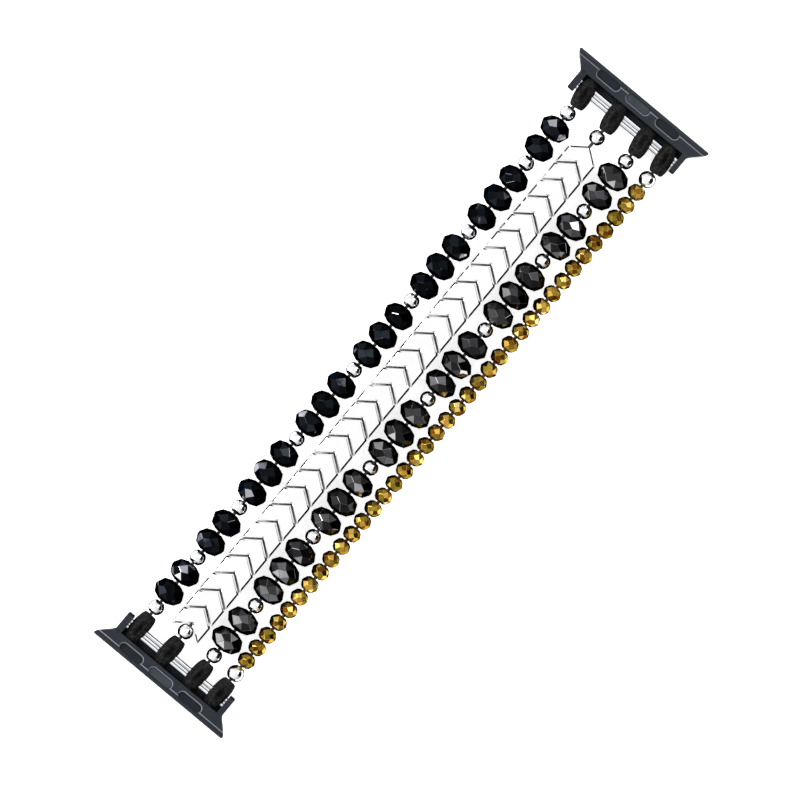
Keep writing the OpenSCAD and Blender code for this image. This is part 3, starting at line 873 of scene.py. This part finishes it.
@dataclass
class LugEnd:
    """One end of the band: the lug with its latch, two rods and four barrel-shaped end beads."""

    end: End
    lean: float
    near_x: float = 49.6
    bead_l: float = 4.9
    bead_d: float = 2.8
    fullness: float = 2.4
    flat_r: float = 0.85
    rings: int = 16
    sides: int = 36
    rod_xs: tuple[float, float] = (53.25, 52.23)
    rod_d: float = 0.76
    rod_ends: tuple[float, float] = (-9.995, 9.80)
    rod_gap: float = 0.03
    hole_r: float = 0.55
    lug_x: float = 57.15
    lug_t: float = 4.3
    pocket_x: float = 55.9
    pocket_w: float = 1.35
    pocket_l: float = 4.2
    pocket_pitch: float = 5.7
    pocket_shift: float = 0.4
    pocket_rim: float = 0.14
    pocket_over: float = 0.1

    @property
    def body(self) -> str:
        """The body that carries the lug."""
        return f"lug_{self.end.value}"

    def barrel(self) -> bpy.types.Object:
        """Turns one barrel-shaped end bead round the origin."""
        half, r = self.bead_l / 2, self.bead_d / 2
        stations = []
        for i in range(self.rings + 1):
            t = -math.cos(math.pi * i / self.rings)
            radius = self.flat_r + (r - self.flat_r) * max(0.0, 1 - abs(t) ** self.fullness) ** 0.5
            stations.append(Station(half * t, radius))
        bead = grow("barrel", stations, self.sides)
        return bead

    def drill(self, radius: float, start: Point, finish: Point) -> bpy.types.Object:
        """A round bar between two points, to bore holes with.

        Args:
            radius: its radius in millimetres.
            start: middle of one end.
            finish: middle of the other end.

        Returns:
            The bar.
        """
        a, b = Vector(start), Vector(finish)
        bar = grow("drill", [Station(0, radius), Station((b - a).length, radius)], 24)
        turn = Vector((1, 0, 0)).rotation_difference(b - a).to_matrix().to_4x4()
        bar.data.transform(Matrix.Translation(a * MM) @ turn)
        return bar

    def build_beads(self, rng: random.Random) -> None:
        """Sets the four end beads, bores them for the rods and the cord, and dresses them."""
        bead, s = self.barrel(), self.end.sign
        middle = s * (self.near_x + self.bead_l / 2)
        lean = Matrix.Rotation(math.radians(s * self.lean), 4, "Z")
        piece = copies(bead, f"end_beads_{self.end.value}_satin", [at(middle, y.value, LAYOUT.axis_z) @ lean for y in Strand], rng)
        bpy.data.objects.remove(bead)
        z = LAYOUT.axis_z
        drills = [self.drill(self.rod_d / 2 + self.rod_gap, (s * x, self.rod_ends[0], z), (s * x, self.rod_ends[1], z)) for x in self.rod_xs]
        drills += [self.drill(self.hole_r, (s * (self.near_x - 1), y.value, z), (s * self.rod_xs[1], y.value, z)) for y in Strand]
        for bar in drills:
            apply_modifier(piece, "BOOLEAN", object=bar, operation="DIFFERENCE", solver="EXACT")
            bpy.data.objects.remove(bar)
        smooth(piece, 35)
        self.mark_ovals(piece, middle)
        dress(piece, SatinBeadFinish().make(), self.body, [f"end_beads_{self.end.value}"])

    def mark_ovals(self, piece: bpy.types.Object, middle: float) -> None:
        """Numbers the corners of the end beads by how near they lie to the darker oval of a broad face."""
        attribute = piece.data.attributes.new("oval", "FLOAT", "POINT")
        values = []
        for vertex in piece.data.vertices:
            x, y, z = vertex.co / MM
            dy = min((y - strand.value for strand in Strand), key=abs)
            shift = math.tan(math.radians(self.end.sign * self.lean)) * (x - middle)
            reach = ((x - middle) / 1.5) ** 2 + ((dy - shift) / 0.5) ** 2
            values.append(max(0.0, 1 - reach) if abs(z - LAYOUT.axis_z) > self.bead_d / 4 else 0.0)
        attribute.data.foreach_set("value", values)

    def build_rods(self, rng: random.Random) -> None:
        """Turns the two rods, with chamfered ends, and dresses them."""
        (low, high), r, chamfer = self.rod_ends, self.rod_d / 2, 0.08
        rod = grow("rod", [Station(low, r - chamfer), Station(low + chamfer, r), Station(high - chamfer, r), Station(high, r - chamfer)], 32)
        smooth(rod, 30)
        upright = Matrix.Rotation(math.pi / 2, 4, "Z")
        places = [at(self.end.sign * x, 0, LAYOUT.axis_z) @ upright for x in self.rod_xs]
        piece = copies(rod, f"rods_{self.end.value}_steel", places, rng)
        bpy.data.objects.remove(rod)
        dress(piece, STEEL.make(), self.body, [f"rods_{self.end.value}"])

    def refine(self, node: str, name: str, edge: float) -> bpy.types.Object:
        """Copies a CAD node, merges its triangles into flat faces and rounds its edges.

        Args:
            node: the CAD node.
            name: name of the new piece.
            edge: width of the rounding in millimetres.

        Returns:
            The new piece.
        """
        piece = bpy.data.objects[node].copy()
        piece.data = piece.data.copy()
        for key in list(piece.keys()):
            if key.startswith("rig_"):
                del piece[key]
        piece.parent = None
        piece.name = name
        bpy.context.scene.collection.objects.link(piece)
        make_active(piece)
        bpy.ops.object.mode_set(mode="EDIT")
        bpy.ops.mesh.select_all(action="SELECT")
        bpy.ops.mesh.customdata_custom_splitnormals_clear()
        bpy.ops.mesh.remove_doubles(threshold=1e-6)
        bpy.ops.mesh.dissolve_limited(angle_limit=math.radians(0.5))
        bpy.ops.object.mode_set(mode="OBJECT")
        apply_modifier(
            piece, "BEVEL", width=edge * MM, segments=2, limit_method="ANGLE",
            angle_limit=math.radians(30), use_clamp_overlap=True, miter_outer="MITER_SHARP",
        )
        make_active(piece)
        bpy.ops.object.mode_set(mode="EDIT")
        bpy.ops.mesh.select_all(action="SELECT")
        bpy.ops.mesh.quads_convert_to_tris(ngon_method="BEAUTY")
        bpy.ops.object.mode_set(mode="OBJECT")
        smooth(piece, 22)
        return piece

    def chamfer_pockets(self, lug: bpy.types.Object) -> None:
        """Cuts a small chamfer round the mouths of the three pockets.

        Args:
            lug: the lug frame.
        """
        r, straight, reach = self.pocket_w / 2, (self.pocket_l - self.pocket_w) / 2, self.pocket_rim + self.pocket_over
        for i in (-1, 0, 1):
            deselect_all()
            place = (self.end.sign * self.pocket_x, 0, self.lug_t - self.pocket_rim)
            bpy.ops.mesh.primitive_circle_add(vertices=28, radius=r * MM, fill_type="NGON", rotation=(0, 0, math.pi / 28))
            cutter = bpy.context.object
            bpy.ops.object.transform_apply(location=True, rotation=True, scale=True)
            bpy.ops.object.mode_set(mode="EDIT")
            bpy.ops.mesh.select_all(action="SELECT")
            bpy.ops.mesh.extrude_region_move(TRANSFORM_OT_translate={"value": (0, 0, reach * MM)})
            bpy.ops.transform.resize(value=((r + reach) / r, (r + reach) / r, 1), center_override=(0, 0, 0))
            for way in (-1, 1):
                pick(cutter, "verts", lambda v: way * v.co.y > 0)
                bpy.ops.transform.translate(value=(0, way * straight * MM, 0))
            bpy.ops.object.mode_set(mode="OBJECT")
            cutter.data.transform(Matrix.Translation((Vector(place) + Vector((0, self.pocket_shift + i * self.pocket_pitch, 0))) * MM))
            recalculate(cutter)
            apply_modifier(lug, "BOOLEAN", object=cutter, operation="DIFFERENCE", solver="EXACT")
            bpy.data.objects.remove(cutter)

    def painted_light(self, face: bpy.types.MeshPolygon) -> float:
        """How much painted light a face of the lug gets: painted highlight on the chamfers at the rail step and the
        pockets, painted shade on the pocket floors and walls.
        """
        inset, z, rise = self.lug_x - abs(face.center.x) / MM, face.center.z / MM, face.normal.z
        if not 0.5 < inset < 2.2:
            return 0.5
        # Painted highlight on the chamfers at the rail step and the pocket mouths.
        if z > 4.1 and 0.3 < rise < 0.95:
            return 1.0
        # Painted shade on the pocket floors and the steep walls near them.
        return 0.0 if z < 3.6 and rise > 0.5 and inset > 0.87 or 3.3 < z < 4.2 and abs(rise) < 0.3 else 0.5

    def build_metal(self) -> None:
        """Dresses the lug frame, the latch button and its spring."""
        e = self.end.value
        lug = self.refine(f"lug_frame_{e}", f"lug_frame_{e}_slate", 0.07)
        self.chamfer_pockets(lug)
        smooth(lug, 22)
        # Painted highlight and painted shade for the lug's faces.
        number_faces(lug, "painted_light", self.painted_light)
        dress(lug, LUG.make(), self.body, [f"lug_frame_{e}"])
        latch = self.refine(f"latch_button_{e}", f"latch_button_{e}_slate", 0.06)
        # The latch gets the middle number: no painted light.
        number_faces(latch, "painted_light", lambda face: 0.5)
        dress(latch, LATCH.make(), f"latch_{e}", [f"latch_button_{e}"])
        bpy.data.objects[f"latch_spring_{e}"].data.materials[0] = STEEL.make()

    def build(self, rng: random.Random) -> None:
        """Builds the whole end."""
        self.build_metal()
        self.build_rods(rng)
        self.build_beads(rng)


@dataclass
class ElasticCords:
    """The elastic cord of every strand: two runs through the beads and a loop round the outer rods."""

    diameter: float = 0.5
    run_z: float = 0.28
    loop_r: float = 0.68
    loop_x: float = 53.25
    spread_x: float = 51.55
    mouth_x: float = 49.85
    steps: int = 10

    def tubes(self, name: str, routes: Sequence[Sequence[Point]]) -> bpy.types.Object:
        """Sweeps round tubes along routes in millimetres and turns them into a mesh.

        Args:
            name: name of the piece.
            routes: the points that each tube follows.

        Returns:
            The piece.
        """
        curve = bpy.data.curves.new(name, "CURVE")
        curve.dimensions = "3D"
        curve.bevel_depth = self.diameter / 2 * MM
        curve.bevel_resolution = 2
        curve.use_fill_caps = True
        for route in routes:
            spline = curve.splines.new("POLY")
            spline.points.add(len(route) - 1)
            for point, place in zip(spline.points, route):
                point.co = (*(Vector(place) * MM), 1)
        piece = bpy.data.objects.new(name, curve)
        bpy.context.scene.collection.objects.link(piece)
        make_active(piece)
        bpy.ops.object.convert(target="MESH")
        recalculate(bpy.context.object)
        smooth(bpy.context.object, 40)
        return bpy.context.object

    def build(self) -> None:
        """Lays the cord in every row and at both ends, and dresses it."""
        material = ElasticFinish().make()
        z, limits = LAYOUT.axis_z, [-LAYOUT.end_x, *LAYOUT.folds, LAYOUT.end_x]
        for row in LAYOUT.rows:
            low, high = limits[row - 1], limits[row]
            routes = [[(low, y.value, z + side * self.run_z), (high, y.value, z + side * self.run_z)] for y in Strand for side in (-1, 1)]
            piece = self.tubes(f"cord_row_{row}", routes)
            dress(piece, material, f"row_{row}", ["elastic_cords"] if row == 5 else [])
        for end in End:
            piece = self.tubes(f"cord_end_{end.value}", [self.loop(end, y.value) for y in Strand])
            piece.data.materials.append(material)
            start = (end.sign * LAYOUT.end_x * MM, 0, z * MM)
            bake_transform(piece)
            LOG.info("%s: bends between end_%s and lug_%s", piece.name, end.value, end.value)

    def loop(self, end: End, y: float) -> list[Point]:
        """Route of one cord from the end ball round the outer rod and back, in millimetres."""
        z, s = LAYOUT.axis_z, end.sign
        xs = [LAYOUT.end_x + (self.mouth_x - LAYOUT.end_x) * i / 5 for i in range(6)]
        out = [(s * x, y, z - self.run_z) for x in xs] + [(s * self.spread_x, y, z - self.loop_r)]
        angles = [math.radians(-90 + 180 * i / self.steps) for i in range(self.steps + 1)]
        bend = [(s * (self.loop_x + self.loop_r * math.cos(a)), y, z + self.loop_r * math.sin(a)) for a in angles]
        back = [(px, py, 2 * z - pz) for px, py, pz in reversed(out)]
        return out + bend + back


# ------------------------------------------------------------------- studio


@dataclass
class Card:
    """A flat card that only reflections see, placed by its direction from the band."""

    name: str
    tilt: float
    azimuth: float
    size: tuple[float, float]
    distance: float = 0.35
    height: float = 0.0
    colour: float = 0.01
    glow: float = 0.0

    def build(self) -> None:
        """Sets the card up, facing the band."""
        deselect_all()
        bpy.ops.mesh.primitive_plane_add(size=1)
        card = bpy.context.object
        card.name = self.name
        tilt, azimuth = math.radians(self.tilt), math.radians(self.azimuth)
        away = Vector((math.sin(tilt) * math.cos(azimuth), math.sin(tilt) * math.sin(azimuth), math.cos(tilt)))
        card.location = away * self.distance + Vector((0, 0, self.height))
        card.rotation_euler = (-away).to_track_quat("Z", "Y").to_euler()
        card.scale = (*self.size, 1)
        for ray in ("camera", "diffuse", "shadow", "transmission"):
            setattr(card, f"visible_{ray}", False)
        recipe = Recipe(self.name)
        recipe.set(
            Base_Color=(self.colour,) * 3 + (1,), Roughness=1.0, Specular_IOR_Level=0.0,
            Emission_Color=(1, 1, 1, 1), Emission_Strength=self.glow,
        )
        card.data.materials.append(recipe.material)


@dataclass
class Studio:
    """Camera, pale floor, white surroundings, soft lamps and dark cards."""

    heading: float = -50.2
    lens: float = 360.0
    sensor: float = 36.0
    frame: float = 120.03
    offset: tuple[float, float] = (0.19, 1.05)
    floor_size: float = 6.0
    floor_glow: float = 0.7
    # Half length and half width in millimetres of the strip under the chevron strand where the floor doesn't glow:
    # painted shadow.
    painted_shadow_strip: tuple[float, float] = (45.0, 2.4)
    light_from: Point = (-0.45, 0.60, 0.66)
    lamps: tuple[tuple[str, Point, float, float], ...] = (
        ("key", (-0.05, 0.26, 0.34), 0.16, 1.3),
        ("fill", (0.30, -0.16, 0.42), 0.40, 0.9),
    )
    cards: list[Card] = field(default_factory=list)

    def aim_camera(self) -> None:
        """Looks straight down on the band, turned as in the photograph."""
        camera = bpy.data.objects.new("camera", bpy.data.cameras.new("camera"))
        bpy.context.scene.collection.objects.link(camera)
        heading = math.radians(self.heading)
        right = Vector((math.cos(heading), math.sin(heading), 0))
        up = Vector((-math.sin(heading), math.cos(heading), 0))
        distance = self.frame * self.lens / self.sensor
        centre = Vector((0, 0, LAYOUT.axis_z)) - right * self.offset[0] - up * self.offset[1]
        camera.location = (centre + Vector((0, 0, distance))) * MM
        camera.rotation_euler = (0, 0, heading)
        camera.data.lens = self.lens
        camera.data.sensor_width = self.sensor
        camera.data.clip_start, camera.data.clip_end = 0.05, 20
        bpy.context.scene.camera = camera

    def lay_floor(self) -> None:
        """Lays the pale floor, which shows white and keeps a faint shadow; under the chevron strand its glow is left
        out, a painted shadow that keeps the gaps between the chevrons dark.
        """
        deselect_all()
        bpy.ops.mesh.primitive_plane_add(size=self.floor_size, location=(0, 0, -0.00002))
        floor = bpy.context.object
        floor.name = "floor"
        recipe = Recipe("pale_floor")
        recipe.set(Base_Color=(0.94, 0.94, 0.945, 1), Roughness=0.9, Specular_IOR_Level=0.0)
        nodes, links = recipe.tree.nodes, recipe.tree.links
        path = nodes.new("ShaderNodeLightPath")
        seen = recipe.math("MAXIMUM", path.outputs["Is Camera Ray"], path.outputs["Is Glossy Ray"])
        seen = recipe.math("MAXIMUM", seen, path.outputs["Is Transmission Ray"])
        split = nodes.new("ShaderNodeSeparateXYZ")
        links.new(recipe.place, split.inputs[0])
        along = recipe.math("ABSOLUTE", split.outputs["X"], 0)
        across = recipe.math("ABSOLUTE", recipe.math("SUBTRACT", split.outputs["Y"], Strand.CHEVRON.value * MM), 0)
        # No glow inside the strip under the chevron strand: painted shadow.
        outside = [recipe.math("GREATER_THAN", off, half * MM) for off, half in zip((along, across), self.painted_shadow_strip)]
        seen = recipe.math("MULTIPLY", seen, recipe.math("MAXIMUM", *outside))
        glow = nodes.new("ShaderNodeEmission")
        glow.inputs["Color"].default_value = (1, 1, 1, 1)
        links.new(recipe.math("MULTIPLY", seen, self.floor_glow), glow.inputs["Strength"])
        added = nodes.new("ShaderNodeAddShader")
        links.new(recipe.shader.outputs[0], added.inputs[0])
        links.new(glow.outputs[0], added.inputs[1])
        links.new(added.outputs[0], nodes["Material Output"].inputs["Surface"])
        floor.data.materials.append(recipe.material)

    def light_world(self) -> None:
        """Lights the band softly, more from the side of the agate strand and lug A, and shows white to the camera."""
        world = bpy.data.worlds.new("studio")
        bpy.context.scene.world = world
        world.use_nodes = True
        nodes, links = world.node_tree.nodes, world.node_tree.links
        sky = nodes["Background"]
        place = nodes.new("ShaderNodeTexCoord")
        towards = nodes.new("ShaderNodeVectorMath")
        towards.operation = "DOT_PRODUCT"
        towards.inputs[1].default_value = self.light_from
        ramp = nodes.new("ShaderNodeValToRGB")
        half = nodes.new("ShaderNodeMath")
        half.operation = "MULTIPLY_ADD"
        half.inputs[1].default_value = half.inputs[2].default_value = 0.5
        links.new(place.outputs["Generated"], towards.inputs[0])
        links.new(towards.outputs["Value"], half.inputs[0])
        links.new(half.outputs[0], ramp.inputs["Fac"])
        stops = ((0.10, 0.28), (0.45, 0.50), (0.70, 1.0), (1.0, 1.1))
        while len(ramp.color_ramp.elements) < len(stops):
            ramp.color_ramp.elements.new(1.0)
        for element, (position, level) in zip(ramp.color_ramp.elements, stops):
            element.position, element.color = position, (level, level, level * 1.01, 1)
        links.new(ramp.outputs["Color"], sky.inputs["Color"])
        sky.inputs["Strength"].default_value = 1.0
        white = nodes.new("ShaderNodeBackground")
        white.inputs["Color"].default_value = (1, 1, 1, 1)
        path, mix = nodes.new("ShaderNodeLightPath"), nodes.new("ShaderNodeMixShader")
        links.new(path.outputs["Is Camera Ray"], mix.inputs["Fac"])
        links.new(sky.outputs[0], mix.inputs[1])
        links.new(white.outputs[0], mix.inputs[2])
        links.new(mix.outputs[0], nodes["World Output"].inputs["Surface"])

    def hang_lamps(self) -> None:
        """Hangs the soft lamps, each facing the band."""
        for name, place, size, power in self.lamps:
            lamp = bpy.data.objects.new(name, bpy.data.lights.new(name, "AREA"))
            lamp.data.shape, lamp.data.size, lamp.data.energy = "SQUARE", size, power
            lamp.location = place
            lamp.rotation_euler = Vector(place).to_track_quat("Z", "Y").to_euler()
            bpy.context.scene.collection.objects.link(lamp)

    def build(self) -> None:
        """Sets the whole studio up."""
        bpy.context.scene.view_settings.view_transform = "Standard"
        self.aim_camera()
        self.lay_floor()
        self.light_world()
        self.hang_lamps()
        for card in self.cards:
            card.build()


# --------------------------------------------------------------------- main


def main() -> None:
    """Builds the studio and every sub-assembly in order."""
    logging.basicConfig(level=logging.INFO, format="%(name)s: %(message)s")
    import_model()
    rng = random.Random(SEED)
    Studio(cards=[
        Card("dark_card", 63, -67, (0.38, 0.36)),
        Card("light_card", 70, 149, (0.30, 0.24), glow=2.4),
        # A dark sheet under the band, seen only in reflections: the painted shadow of the band on the floor.
        Card("band_shadow_card", 0, 0, (0.116, 0.024), distance=0, height=-0.00001),
    ]).build()
    FacetedStrand(Strand.AGATE, "agate_beads", "agate", AGATE, 4.9, 3.42, 0.78, LAYOUT.centres(LAYOUT.agate_groups, False), 0.03).build(rng)
    FacetedStrand(Strand.CRYSTAL, "crystal_beads", "crystal", CRYSTAL, 5.25, 3.42, 0.78, LAYOUT.centres(LAYOUT.crystal_groups, False), 0.03).build(rng)
    FacetedStrand(Strand.GOLD, "gold_beads", "gold", GOLD, 2.85, 2.209, 0.66, LAYOUT.golds, 0.02).build(rng)
    ChevronStrand().build(rng)
    ChromeBalls().build(rng)
    LugEnd(End.A, 3).build(rng)
    LugEnd(End.B, 8).build(rng)
    ElasticCords().build()


if __name__ == "__main__":
    main()
